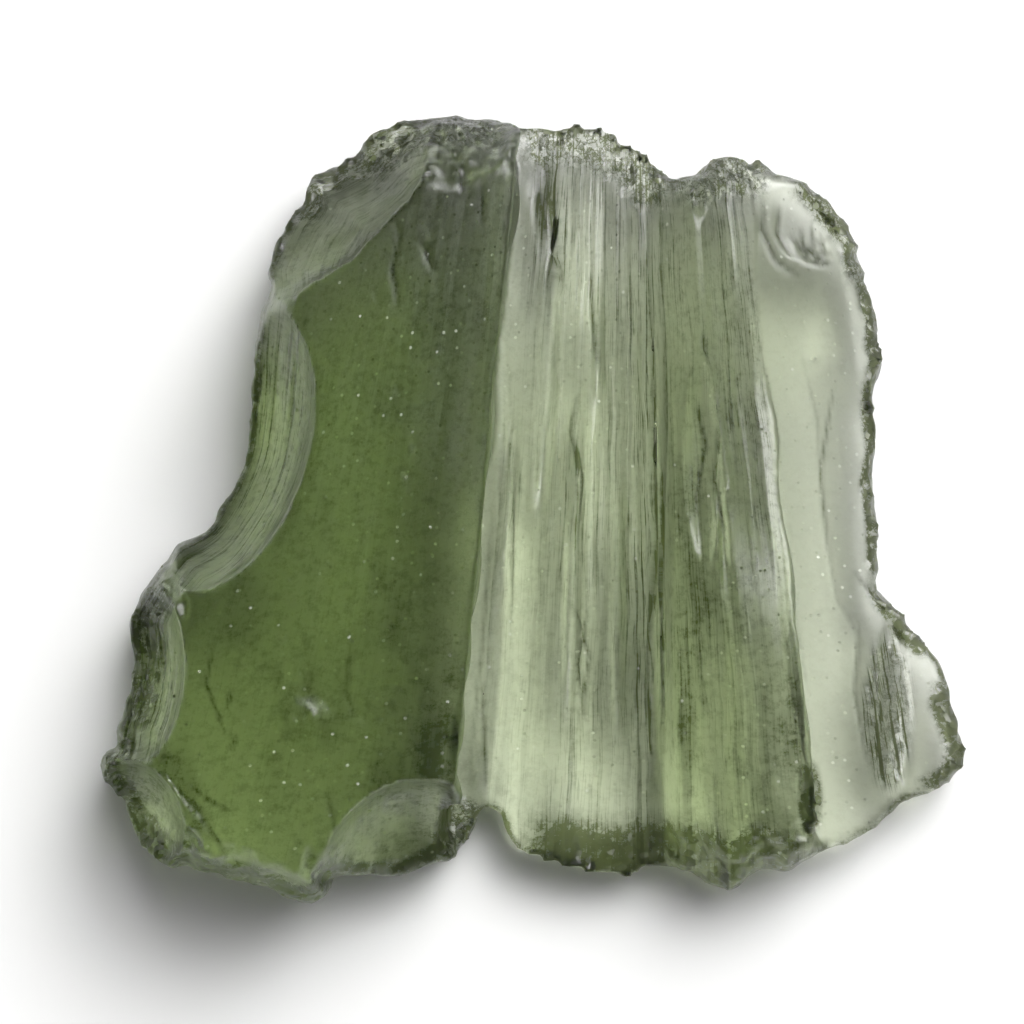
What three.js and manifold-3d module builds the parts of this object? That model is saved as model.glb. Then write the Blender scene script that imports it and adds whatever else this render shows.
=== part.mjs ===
// A moldavite: one broken flake of bottle-green tektite glass, lying flat with its fluted face up.
// Millimetres. X runs across the flow bands of the glass, Y along them, and Z up from the surface
// that the stone rests on. The origin is under the middle of the stone.

import * as THREE from "three";
import { mergeVertices } from "three/addons/utils/BufferGeometryUtils.js";
import Module from "manifold-3d";

// Edge of the flake from above, clockwise from the upper left shoulder, with a point at each turn
const OUTLINE = [
  [-7.9, 11.5], [-6.8, 12.0], [-5.9, 12.8], [-4.7, 13.5], [-1.7, 13.7], [-0.7, 13.4], [1.2, 13.5],
  [2.7, 13.3], [3.7, 12.6], [4.6, 11.7], [5.1, 11.6], [6.4, 12.3], [7.1, 12.4], [8.5, 11.8],
  [9.8, 11.3], [10.6, 10.4], [11.3, 9.5], [11.6, 8.2], [12.1, 6.3], [12.2, 5.2], [11.9, 3.6],
  [12.1, 2.0], [11.9, 1.1], [12.1, -0.8], [12.1, -2.7], [12.9, -3.7], [13.1, -4.2], [14.2, -5.3],
  [14.6, -7.0], [15.1, -8.3], [15.1, -8.9], [14.4, -9.9], [13.0, -10.3], [11.4, -11.6],
  [9.5, -12.3], [8.9, -12.7], [7.8, -12.8], [7.0, -13.4], [6.5, -13.3], [5.4, -12.8], [3.8, -12.7],
  [3.2, -13.0], [2.3, -12.9], [0.3, -12.4], [-0.6, -12.0], [-0.9, -11.5], [-1.1, -10.9],
  [-1.6, -10.6], [-2.0, -10.9], [-2.2, -11.5], [-2.9, -12.4], [-4.8, -12.9], [-7.0, -12.9],
  [-7.6, -13.7], [-8.2, -13.7], [-9.4, -13.2], [-11.5, -12.8], [-12.9, -12.5], [-13.9, -11.6],
  [-14.6, -9.9], [-15.1, -9.2], [-14.6, -8.3], [-14.5, -7.5], [-14.1, -6.2], [-14.1, -4.0],
  [-13.8, -3.2], [-12.4, -1.3], [-11.2, -0.4], [-10.3, 1.3], [-9.9, 2.9], [-9.6, 6.2],
  [-9.2, 7.7], [-9.3, 8.3], [-8.5, 10.2],
];

// A point inside from which the whole edge can be seen
const HEART = new THREE.Vector2(-0.2, 0.3);

// The flow bands fan out toward the lower edge. A band is named by its X at the height of this point
const FAN = { x: 3.0, y: 0.3, spread: 0.02 };

// Bands where the upper face steps down: from the thick lobe to the terrace, and to the thin margin
const RIDGE_BAND = -1.8;
const MARGIN_BAND = 8.6;

// The thick lobe is a low dome
const LOBE = { height: 8.1, x: -5.0, y: 4.0, fallAcross: 0.01, fallAlong: 0.003 };

// Heights across the bands, as pairs of band and height
const TERRACE = [
  [-1.8, 2.3], [-0.6, 2.4], [0.6, 2.7], [3.6, 2.7], [4.2, 2.6], [4.8, 3.9], [6.4, 5.0], [8.6, 5.0],
];
const MARGIN = [[8.6, 2.3], [10.5, 2.2], [12.2, 2.1], [15.0, 2.0]];
const UNDERSIDE = [[-15.0, 0.5], [-11.0, 0.0], [3.0, 0.0], [12.5, 1.0], [15.0, 1.1]];

// How the terrace and the underside curve away toward the two ends of the bands
const TERRACE_FALL = 0.004;
const UNDERSIDE_BOW = 0.003;
const UNDERSIDE_RISE = { height: 1.1, start: 1.0, end: 14.0 };
const UNDERSIDE_FLAT = 0.1;

// The margin rises toward the terrace at the upper end
const MARGIN_RISE = { height: 0.6, start: 3.0, end: 9.0 };

// At the upper end the terrace sinks toward the margin, down to a slight step
const MERGE = { band: 5.6, start: -6.0, end: 6.0, step: 0.12 };

// Flutes along the bands of the terrace: band, half width, depth, and lower and upper end
const FLUTES = [
  { band: -0.9, half: 0.4, depth: 0.5, from: -11.0, to: 4.0 },
  { band: 0.2, half: 0.45, depth: 0.7, from: -1.0, to: 9.5 },
  { band: 0.6, half: 0.5, depth: 0.7, from: 8.0, to: 12.5 },
  { band: 1.4, half: 0.45, depth: 0.6, from: -8.0, to: 5.0 },
  { band: 2.1, half: 0.4, depth: 0.5, from: 3.0, to: 8.5 },
  { band: 2.9, half: 0.4, depth: 0.4, from: -9.0, to: 2.0 },
  { band: 4.2, half: 0.5, depth: 0.8, from: -10.0, to: 9.5 },
  { band: 6.4, half: 0.45, depth: 0.6, from: -4.0, to: 4.5 },
];
const FLUTE_END = 4.0;

// The broken edge: its level falls from left to right, and the faces round over to it. Half of its
// thickness is given for the thick lobe and for the thin terrace and margin
const RIM = { level: 1.6, slope: -0.02, wave: 0.2, waveAcross: 0.8, waveAlong: -0.55 };
const LOBE_EDGE = 0.6;
const THIN_EDGE = 0.3;
const EDGE_FADE = [[-3.0, LOBE_EDGE], [-1.8, THIN_EDGE]];
const RIM_ROUNDING = { share: 0.6, narrowest: 0.35, widest: 1.7, under: 0.5 };

// Stretches of the upper rim that are bevelled more widely: centre, reach and width of the bevel
const BEVELS = [
  { x: -3.5, y: 13.2, across: 3.4, along: 3.4, width: 3.2 },
  { x: 2.3, y: 12.5, across: 3.6, along: 3.6, width: 1.9 },
  { x: 6.5, y: 11.7, across: 2.0, along: 2.0, width: 1.2 },
  { x: 4.4, y: -12.3, across: 6.0, along: 3.6, width: 2.4 },
];
const BEVEL_FADE = 0.6;

// Shell-shaped scars and pits, as ellipsoids that bite into the stone: centre, radii and turn about Z
const SCARS = [
  { at: [-10.9, 2.2, 8.0], radii: [3.1, 5.2, 5.4], turn: -0.29 },
  { at: [-7.8, 11.6, 8.0], radii: [6.5, 3.2, 5.4], turn: 0.79 },
  { at: [-14.2, -5.4, 7.8], radii: [2.15, 3.6, 5.0], turn: 0 },
  { at: [-14.4, -11.2, 7.6], radii: [2.3, 2.6, 5.2], turn: 0 },
  { at: [-3.9, -13.9, 8.0], radii: [3.8, 4.6, 5.4], turn: 0 },
  { at: [-9.3, -14.6, 7.8], radii: [2.6, 2.2, 4.0], turn: 0 },
  { at: [-1.7, -12.7, 7.8], radii: [1.9, 2.6, 5.0], turn: 0 },
  { at: [9.5, 10.0, 3.7], radii: [1.7, 2.1, 1.3], turn: 0.3 },
  { at: [5.7, 1.6, 4.8], radii: [0.75, 3.9, 1.0], turn: 0 },
  { at: [12.7, -6.8, 2.3], radii: [0.6, 3.0, 0.7], turn: 0.08 },
];

// Mesh density: cells across the flake and its cuts, and facets of a scar
const FLAKE_CELLS = 36;
const RIM_CROWDING = 1.35;
const TERRACE_CELLS = [38, 26];
const MARGIN_CELLS = [12, 26];
const SCAR_FACETS = [20, 14];

// The blocks that cut the steps reach beyond the stone
const CUT_REACH = 14.4;
const CUT_TOP = 12;
const TERRACE_CUT_END = 12.6;
const MARGIN_CUT_END = 17.5;

const edge = new THREE.CatmullRomCurve3(
  OUTLINE.map(([x, y]) => new THREE.Vector3(x, y, 0)),
  true,
  "centripetal",
);
edge.arcLengthDivisions = 1500;
const edgePoints = edge.getSpacedPoints(420);

const wasm = await Module();
wasm.setup();

// Band that passes through a point, and the X of a band at a given Y
function bandAt(x, y) {
  return FAN.x + (x - FAN.x) / (1 - FAN.spread * (y - FAN.y));
}

function bandX(band, y) {
  return FAN.x + (band - FAN.x) * (1 - FAN.spread * (y - FAN.y));
}

// Height on a profile of pairs, eased from each pair to the next
function heightOn(profile, band) {
  const next = profile.findIndex(([station]) => station > band);
  if (next === 0) {
    return profile[0][1];
  }
  if (next === -1) {
    return profile[profile.length - 1][1];
  }
  const [start, low] = profile[next - 1];
  const [end, high] = profile[next];
  return THREE.MathUtils.lerp(low, high, THREE.MathUtils.smoothstep(band, start, end));
}

// Distance from the broken edge, zero on it and outside it
function inset(x, y) {
  const here = new THREE.Vector3(x, y, 0);
  const inside = THREE.ShapeUtils.isClockWise(edgePoints) ? -1 : 1;
  let nearest = Infinity;
  let side = 1;
  for (let i = 0; i + 1 < edgePoints.length; i += 1) {
    const segment = new THREE.Line3(edgePoints[i], edgePoints[i + 1]);
    const foot = segment.closestPointToPoint(here, true, new THREE.Vector3());
    const gap = foot.distanceTo(here);
    if (gap < nearest) {
      nearest = gap;
      const along = segment.delta(new THREE.Vector3());
      side = inside * (along.x * (y - foot.y) - along.y * (x - foot.x));
    }
  }
  return side > 0 ? nearest : 0;
}

function rimLevel(x, y) {
  return RIM.level + RIM.slope * x + RIM.wave * Math.sin(RIM.waveAcross * x + RIM.waveAlong * y);
}

// Width of the rounding where a face stands a given distance from the rim
function roundingWidth(reach) {
  return THREE.MathUtils.clamp(RIM_ROUNDING.share * reach, RIM_ROUNDING.narrowest, RIM_ROUNDING.widest);
}

function bevelWidth(x, y) {
  const widths = BEVELS.map((bevel) => {
    const away = Math.hypot((x - bevel.x) / bevel.across, (y - bevel.y) / bevel.along);
    return bevel.width * (1 - THREE.MathUtils.smoothstep(away, BEVEL_FADE, 1));
  });
  return Math.max(...widths);
}

// A face rounds over from its own height to the rim
function roundOver(x, y, height, rimHeight, width) {
  const t = Math.min(1, inset(x, y) / width);
  return THREE.MathUtils.lerp(rimHeight, height, Math.sqrt(t * (2 - t)));
}

function upperFace(x, y, height, halfEdge) {
  const rimHeight = rimLevel(x, y) + halfEdge;
  const width = Math.max(roundingWidth(height - rimHeight), bevelWidth(x, y));
  return roundOver(x, y, height, rimHeight, width);
}

function lowerFace(x, y, height) {
  const rimHeight = rimLevel(x, y) - heightOn(EDGE_FADE, bandAt(x, y));
  return roundOver(x, y, height, rimHeight, RIM_ROUNDING.under * roundingWidth(rimHeight - height));
}

function lobe(x, y) {
  return LOBE.height - LOBE.fallAcross * (x - LOBE.x) ** 2 - LOBE.fallAlong * (y - LOBE.y) ** 2;
}

function fluteDepth(flute, band, y) {
  const across = Math.max(0, 1 - ((band - flute.band) / flute.half) ** 2);
  const runOut = Math.min(FLUTE_END, (flute.to - flute.from) / 2);
  const start = THREE.MathUtils.smoothstep(y, flute.from, flute.from + runOut);
  const end = 1 - THREE.MathUtils.smoothstep(y, flute.to - runOut, flute.to);
  return flute.depth * across * start * end;
}

function terrace(x, y) {
  const band = bandAt(x, y);
  const fluted = FLUTES.reduce((sum, flute) => sum + fluteDepth(flute, band, y), 0);
  const height = heightOn(TERRACE, band) - TERRACE_FALL * y ** 2 - fluted;
  const across = THREE.MathUtils.smoothstep(band, MERGE.band, MARGIN_BAND);
  const along = THREE.MathUtils.smoothstep(y, MERGE.start, MERGE.end);
  return THREE.MathUtils.lerp(height, margin(x, y) + MERGE.step, across * along);
}

function margin(x, y) {
  const rise = MARGIN_RISE.height * THREE.MathUtils.smoothstep(y, MARGIN_RISE.start, MARGIN_RISE.end);
  return heightOn(MARGIN, bandAt(x, y)) + rise;
}

function underside(x, y) {
  const { height, start, end } = UNDERSIDE_RISE;
  const across = heightOn(UNDERSIDE, bandAt(x, y));
  const along = UNDERSIDE_BOW * Math.min(0, y) ** 2 + height * THREE.MathUtils.smoothstep(y, start, end);
  return Math.max(0, Math.hypot(across, along) - UNDERSIDE_FLAT);
}

// Point of the plan for a cell corner of a square from -1 to 1, whose border becomes the edge
function planPoint(u, v) {
  const ring = Math.max(Math.abs(u), Math.abs(v));
  if (ring === 0) {
    return HEART.clone();
  }
  const sideways = Math.abs(u) >= Math.abs(v);
  const eighths = sideways ? v / u + (u > 0 ? 0 : 4) : 2 - u / v + (v > 0 ? 0 : 4);
  const onEdge = edge.getPointAt(1 - (((eighths + 8) / 8) % 1));
  const reach = 1 - (1 - ring) ** RIM_CROWDING;
  return HEART.clone().lerp(new THREE.Vector2(onEdge.x, onEdge.y), reach);
}

// Closed three.js geometry to a solid, and back
function toSolid(geometry) {
  geometry.deleteAttribute("normal");
  geometry.deleteAttribute("uv");
  const merged = mergeVertices(geometry, 1e-5);
  const mesh = new wasm.Mesh({
    numProp: 3,
    vertProperties: new Float32Array(merged.getAttribute("position").array),
    triVerts: new Uint32Array(merged.getIndex().array),
  });
  return new wasm.Manifold(mesh);
}

function toGeometry(solid) {
  const mesh = solid.getMesh();
  const geometry = new THREE.BufferGeometry();
  geometry.setAttribute("position", new THREE.BufferAttribute(mesh.vertProperties, 3));
  geometry.setIndex(new THREE.BufferAttribute(mesh.triVerts, 1));
  return geometry;
}

// Box whose vertices are moved to where place(u, v, upper) puts them
function shapedBox(cellsAcross, cellsAlong, place) {
  const box = new THREE.BoxGeometry(2, 2, 2, cellsAcross, cellsAlong, 1);
  const corners = box.getAttribute("position");
  for (let i = 0; i < corners.count; i += 1) {
    const moved = place(corners.getX(i), corners.getY(i), corners.getZ(i) > 0);
    corners.setXYZ(i, moved.x, moved.y, moved.z);
  }
  return toSolid(box);
}

// The flake before its upper face was stripped: the lobe's dome over the whole plan
function flake() {
  return shapedBox(FLAKE_CELLS, FLAKE_CELLS, (u, v, upper) => {
    const { x, y } = planPoint(u, v);
    const z = upper ? upperFace(x, y, lobe(x, y), LOBE_EDGE) : lowerFace(x, y, underside(x, y));
    return { x, y, z };
  });
}

// Everything above a level, from one band to another, with its cells crowded toward the rims
function above(level, startBand, endBand, [cellsAcross, cellsAlong]) {
  return shapedBox(cellsAcross, cellsAlong, (u, v, upper) => {
    const y = CUT_REACH * Math.sin((v * Math.PI) / 2);
    const x = bandX(THREE.MathUtils.mapLinear(u, -1, 1, startBand, endBand), y);
    return { x, y, z: upper ? CUT_TOP : upperFace(x, y, level(x, y), THIN_EDGE) };
  });
}

function scar({ at, radii, turn }) {
  const ball = new THREE.SphereGeometry(1, ...SCAR_FACETS);
  ball.scale(...radii);
  ball.rotateZ(turn);
  ball.translate(...at);
  return toSolid(ball);
}

function moldavite() {
  const steps = [
    above(terrace, RIDGE_BAND, TERRACE_CUT_END, TERRACE_CELLS),
    above(margin, MARGIN_BAND, MARGIN_CUT_END, MARGIN_CELLS),
  ];
  const bites = [...steps, ...SCARS.map(scar)];
  const stone = toGeometry(bites.reduce((solid, bite) => solid.subtract(bite), flake()));
  stone.computeBoundingBox();
  const middle = stone.boundingBox.getCenter(new THREE.Vector3());
  stone.translate(-middle.x, -middle.y, -stone.boundingBox.min.z);
  const glass = new THREE.MeshStandardMaterial({ color: 0x6b8048, roughness: 0.15, metalness: 0 });
  const mesh = new THREE.Mesh(stone, glass);
  mesh.name = "moldavite";
  return mesh;
}

const specimen = new THREE.Group();
specimen.add(moldavite());

export default specimen;
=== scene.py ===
"""A moldavite: one flake of bottle-green tektite glass, lying on a pale studio floor.

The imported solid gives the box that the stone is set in. The stone is modelled again here as a fine
mesh, from the same named sizes, with the crinkled rim, the flow lines, the cracks and the small
pits that a faceted solid is too coarse for. Sizes are in millimetres, and become metres where a
mesh or the camera is made.
"""

import logging
import math
from dataclasses import dataclass, field
from enum import Enum
from typing import Any

import bpy
import numpy as np
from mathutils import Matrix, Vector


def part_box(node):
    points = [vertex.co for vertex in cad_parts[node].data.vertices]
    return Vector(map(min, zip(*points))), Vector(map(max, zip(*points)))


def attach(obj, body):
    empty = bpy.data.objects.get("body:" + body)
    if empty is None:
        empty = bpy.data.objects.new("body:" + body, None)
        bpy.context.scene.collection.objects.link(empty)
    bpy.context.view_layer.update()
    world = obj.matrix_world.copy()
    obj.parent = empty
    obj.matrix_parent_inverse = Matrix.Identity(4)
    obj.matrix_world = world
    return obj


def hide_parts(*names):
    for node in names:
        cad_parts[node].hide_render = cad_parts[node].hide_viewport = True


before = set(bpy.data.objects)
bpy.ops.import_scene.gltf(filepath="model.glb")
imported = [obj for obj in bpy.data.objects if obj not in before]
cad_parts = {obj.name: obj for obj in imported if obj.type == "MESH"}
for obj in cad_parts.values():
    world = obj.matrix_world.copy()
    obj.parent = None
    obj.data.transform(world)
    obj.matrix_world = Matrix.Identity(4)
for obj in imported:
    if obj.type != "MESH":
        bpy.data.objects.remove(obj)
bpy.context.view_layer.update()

import openvdb

Array = np.ndarray
Colour = tuple[float, float, float, float]
Pair = tuple[float, float]
Pairs = tuple[Pair, ...]
Triple = tuple[float, float, float]

LOG = logging.getLogger("moldavite")
NODE = "moldavite"
MM = 0.001


class Level(Enum):
    """The three levels of the upper face, from left to right."""

    LOBE = "lobe"
    TERRACE = "terrace"
    MARGIN = "margin"


def linear(hex_colour: str) -> Colour:
    """Turn an sRGB hex colour into linear light.

    Args:
        hex_colour: Six hex digits after a hash sign.

    Returns:
        Red, green, blue and an alpha of one.
    """
    channels = [int(hex_colour[i : i + 2], 16) / 255 for i in (1, 3, 5)]
    lit = [c / 12.92 if c <= 0.04045 else ((c + 0.055) / 1.055) ** 2.4 for c in channels]
    return (lit[0], lit[1], lit[2], 1.0)


def eased(value: Array, start: float, end: float) -> Array:
    """Rise smoothly from zero at start to one at end.

    Args:
        value: Where to look.
        start: The value that gives zero.
        end: The value that gives one.

    Returns:
        The eased share, of the shape of value.
    """
    t = np.clip((value - start) / (end - start), 0.0, 1.0)
    return t * t * (3.0 - 2.0 * t)


def height_on(profile: Pairs, band: Array) -> Array:
    """Height on a profile of band and height pairs, eased from each pair to the next.

    Args:
        profile: Pairs in rising order of band.
        band: Where to look.

    Returns:
        Heights, of the shape of band.
    """
    height = np.full_like(band, profile[0][1])
    for (start, low), (end, high) in zip(profile, profile[1:]):
        height = height + (high - low) * eased(band, start, end)
    return height


@dataclass(frozen=True)
class Ripple:
    """One layer of noise on a plan: its size along X and Y, its depth and the lattice layer it reads."""

    size: Pair
    depth: float = 1.0
    layer: float = 0.0


class Noise:
    """Seeded smooth noise between minus one and one."""

    CELLS = 64

    def __init__(self, seed: int) -> None:
        """Fill the lattice from a seed."""
        self.lattice = np.random.default_rng(seed).uniform(-1.0, 1.0, (self.CELLS,) * 3)

    def at(self, x: Array, y: Array, z: Array) -> Array:
        """Noise at lattice coordinates, which repeat after CELLS steps.

        Args:
            x: First coordinate.
            y: Second coordinate.
            z: Third coordinate.

        Returns:
            One value for each point.
        """
        cells = []
        fades = []
        for coordinate in np.broadcast_arrays(x, y, z):
            floor = np.floor(coordinate)
            t = coordinate - floor
            low = floor.astype(np.int64) % self.CELLS
            cells.append((low, (low + 1) % self.CELLS))
            fades.append(t * t * t * (t * (t * 6.0 - 15.0) + 10.0))
        total = np.zeros_like(fades[0])
        for corner in np.ndindex(2, 2, 2):
            weight = np.ones_like(total)
            for fade, side in zip(fades, corner):
                weight = weight * (fade if side else 1.0 - fade)
            i, j, k = (pair[side] for pair, side in zip(cells, corner))
            total += weight * self.lattice[i, j, k]
        return total

    def on_plan(self, ripples: tuple[Ripple, ...], x: Array, y: Array) -> Array:
        """Sum of a few layers of noise on a plan.

        Args:
            ripples: The layers.
            x: X or band of the points.
            y: Y of the points.

        Returns:
            One value for each point.
        """
        total = np.zeros(np.broadcast_shapes(x.shape, y.shape))
        for ripple in ripples:
            layer = np.full_like(x, ripple.layer)
            total = total + ripple.depth * self.at(x / ripple.size[0], y / ripple.size[1], layer)
        return total


@dataclass(frozen=True)
class FlowFan:
    """The flow bands of the glass, which fan out toward the lower edge."""

    x: float = 3.0
    y: float = 0.3
    spread: float = 0.02

    def band(self, x: Array, y: Array) -> Array:
        """Name the band through each point by its X at the height of the fan's point."""
        return self.x + (x - self.x) / (1.0 - self.spread * (y - self.y))


@dataclass(frozen=True)
class Flute:
    """One groove along the bands of the terrace."""

    band: float
    half: float
    depth: float
    low: float
    high: float
    run_out: float = 4.0

    def depth_at(self, band: Array, y: Array) -> Array:
        """Depth of the groove at each point.

        Args:
            band: Bands of the points.
            y: Places along the bands.

        Returns:
            Depths, zero outside the groove.
        """
        across = np.clip(1.0 - ((band - self.band) / self.half) ** 2, 0.0, None)
        run_out = min(self.run_out, (self.high - self.low) / 2)
        start = eased(y, self.low, self.low + run_out)
        end = 1.0 - eased(y, self.high - run_out, self.high)
        return self.depth * across * start * end


@dataclass(frozen=True)
class Scar:
    """An ellipsoid bite out of the stone: a shell-shaped break, a bowl or a long pit."""

    at: Triple
    radii: Triple
    # Radians, counted from +X toward +Y.
    turn: float = 0.0
    ragged: float = 0.0
    ribbed: float = 0.0

    def carve(self, x: Array, y: Array, z: Array, warp: Array) -> Array:
        """Field of the bite: positive inside it, about the distance to its wall.

        Args:
            x: X of the points.
            y: Y of the points.
            z: Z of the points.
            warp: Noise on the plan that makes a ragged bite's boundary uneven.

        Returns:
            One value for each point.
        """
        dx, dy, dz = x - self.at[0], y - self.at[1], z - self.at[2]
        cosine, sine = math.cos(self.turn), math.sin(self.turn)
        u = (cosine * dx + sine * dy) / self.radii[0]
        v = (cosine * dy - sine * dx) / self.radii[1]
        w = dz / self.radii[2]
        return min(self.radii) * (1.0 - np.sqrt(u * u + v * v + w * w)) + self.ragged * warp


@dataclass(frozen=True)
class Rough:
    """A crumpled stretch, most of them along the rim, which may also be bevelled."""

    at: Pair
    reach: Pair
    width: float
    strength: float
    bevel: float = 0.0
    # Dark tint of the stretch: soil in the crust, and painted shade on rim facets that face away from the
    # light.
    soil_and_shade: float = 0.0
    streaked: float = 0.0
    core: float = 0.6

    def share(self, x: Array, y: Array) -> Array:
        """How far each point is within the stretch, from zero to one."""
        u, v = (x - self.at[0]) / self.reach[0], (y - self.at[1]) / self.reach[1]
        return 1.0 - eased(np.hypot(u, v), self.core, 1.0)


@dataclass(frozen=True)
class Crack:
    """A fine dark crack or groove, drawn on the upper face through a few points."""

    path: Pairs
    half: float
    depth: float
    # Dark tint along the crack: soil, and painted shade in the groove.
    soil_and_shade: float = 1.0

    def depth_at(self, x: Array, y: Array) -> Array:
        """Depth of the crack at each point, zero beside it.

        Args:
            x: X of the points.
            y: Y of the points.

        Returns:
            Depths, tapering to the crack's two ends.
        """
        deepest = np.zeros_like(x)
        legs = len(self.path) - 1
        for leg, ((ax, ay), (bx, by)) in enumerate(zip(self.path, self.path[1:])):
            ex, ey = bx - ax, by - ay
            t = np.clip(((x - ax) * ex + (y - ay) * ey) / (ex * ex + ey * ey), 0.0, 1.0)
            aside = np.hypot(x - ax - t * ex, y - ay - t * ey) / self.half
            along = (leg + t) / legs
            taper = np.sqrt(np.clip(4.0 * along * (1.0 - along), 0.0, 1.0))
            deepest = np.maximum(deepest, taper * np.clip(1.0 - aside, 0.0, 1.0))
        return self.depth * deepest


@dataclass(frozen=True)
class Blister:
    """A small rippled dome on the lobe."""

    at: Pair = (-8.0, -7.2)
    radii: Pair = (1.0, 0.75)
    height: float = 0.3
    ripple: float = 0.3
    rings: float = 14.0

    def rise_at(self, x: Array, y: Array) -> Array:
        """Rise of the dome at each point.

        Args:
            x: X of the points.
            y: Y of the points.

        Returns:
            Heights, zero beside the dome.
        """
        far = np.hypot((x - self.at[0]) / self.radii[0], (y - self.at[1]) / self.radii[1])
        ripples = 1.0 - self.ripple + self.ripple * np.cos(self.rings * far)
        return self.height * np.clip(1.0 - far**2, 0.0, None) * ripples


@dataclass(frozen=True)
class Pinpricks:
    """Pinprick pits scattered over the lobe."""

    seed: int = 11
    count: int = 50
    low: Pair = (-13.0, -12.0)
    high: Pair = (-2.5, 12.0)
    # Drawn coarser than real pinpricks, so that they show.
    size: Pair = (0.1, 0.19)
    depth: float = 0.35

    def depth_at(self, x: Array, y: Array) -> Array:
        """Depth of the pits at each point.

        Args:
            x: X of the points.
            y: Y of the points.

        Returns:
            Depths, zero between the pits.
        """
        dice = np.random.default_rng(self.seed)
        total = np.zeros_like(x)
        for _ in range(self.count):
            pit_x, pit_y = dice.uniform(self.low, self.high)
            size = dice.uniform(*self.size)
            away = np.hypot(x - pit_x, y - pit_y) / size
            total += self.depth * size * np.clip(1.0 - away * away, 0.0, None)
        return total


@dataclass
class Silhouette:
    """The broken edge from above, clockwise from the upper left shoulder, a point at each turn."""

    turns: Pairs = (
        (-7.9, 11.5), (-6.8, 12.0), (-6.2, 12.4), (-5.9, 12.8), (-4.7, 13.5), (-4.0, 13.6), (-1.7, 13.7),
        (-0.7, 13.4), (-0.1, 13.5), (0.5, 13.4), (1.2, 13.5), (2.7, 13.3), (3.0, 12.9), (3.7, 12.6),
        (4.6, 11.7), (5.1, 11.6), (5.6, 11.8), (6.4, 12.3), (7.1, 12.4), (7.5, 12.1), (8.0, 12.1),
        (8.5, 11.8), (9.8, 11.3), (10.6, 10.4), (11.3, 9.5), (11.6, 8.2), (12.1, 6.3), (12.0, 5.8),
        (12.2, 5.2), (11.9, 3.6), (12.1, 2.0), (11.9, 1.1), (12.1, -0.8), (12.1, -2.3), (12.2, -3.0),
        (12.9, -3.7), (13.1, -4.2), (14.2, -5.3), (14.5, -6.3), (14.6, -7.0), (15.1, -8.3), (15.1, -8.9),
        (14.4, -9.9), (13.0, -10.3), (12.2, -11.0), (11.4, -11.6), (9.5, -12.3), (8.9, -12.7), (8.3, -12.6),
        (7.8, -12.8), (7.0, -13.4), (6.5, -13.3), (5.8, -13.0), (5.4, -12.8), (3.8, -12.7), (3.2, -13.0),
        (2.3, -12.9), (0.3, -12.4), (-0.6, -12.0), (-0.9, -11.5), (-1.1, -10.9), (-1.6, -10.6),
        (-2.0, -10.9), (-2.2, -11.5), (-2.9, -12.4), (-3.4, -12.4), (-4.8, -12.9), (-6.1, -12.8),
        (-7.0, -12.9), (-7.2, -13.4), (-7.6, -13.7), (-8.2, -13.7), (-8.9, -13.5), (-9.4, -13.2),
        (-11.5, -12.8), (-12.2, -12.5), (-12.9, -12.5), (-13.9, -11.6), (-14.6, -9.9), (-15.0, -9.5),
        (-15.1, -9.0), (-15.0, -8.6), (-14.6, -8.3), (-14.5, -7.5), (-14.2, -6.6), (-14.0, -5.3),
        (-14.1, -4.0), (-13.8, -3.2), (-12.8, -1.8), (-12.4, -1.3), (-11.7, -0.9), (-11.2, -0.4),
        (-10.3, 1.3), (-9.9, 2.9), (-9.6, 6.2), (-9.2, 7.7), (-9.3, 8.3), (-8.5, 10.2), (-8.1, 10.7),
    )
    smoothing: int = 4
    ring: Array = field(init=False)

    def __post_init__(self) -> None:
        """Run a smooth closed curve through the turns and set it in the middle of the solid's box."""
        here = np.array(self.turns)
        last, following, beyond = (np.roll(here, by, axis=0) for by in (1, -1, -2))
        stretches = []
        for t in np.arange(self.smoothing) / self.smoothing:
            pull = (following - last) * t + (2 * last - 5 * here + 4 * following - beyond) * t**2
            stretches.append(here + 0.5 * (pull + (3 * here - last - 3 * following + beyond) * t**3))
        ring = np.stack(stretches, axis=1).reshape(-1, 2)
        low, high = (np.array(corner)[:2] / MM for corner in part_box(NODE))
        self.ring = ring + (low + high) / 2 - (ring.min(axis=0) + ring.max(axis=0)) / 2

    def inset(self, x: Array, y: Array) -> Array:
        """Distance inside the edge, negative outside it.

        Args:
            x: X of a column of points, of shape (n, 1).
            y: Y of a row of points, of shape (1, m).

        Returns:
            Distances of shape (n, m).
        """
        nearest = np.full(np.broadcast_shapes(x.shape, y.shape), np.inf)
        crossings = np.zeros(nearest.shape, dtype=int)
        for (ax, ay), (bx, by) in zip(self.ring, np.roll(self.ring, -1, axis=0)):
            ex, ey = bx - ax, by - ay
            t = np.clip(((x - ax) * ex + (y - ay) * ey) / (ex * ex + ey * ey), 0.0, 1.0)
            nearest = np.minimum(nearest, np.hypot(x - ax - t * ex, y - ay - t * ey))
            spans = (ay > y) != (by > y)
            if ay != by:
                crossings += spans & (x < ax + ex * (y - ay) / ey)
        return np.where(crossings % 2 == 1, nearest, -nearest)


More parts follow.
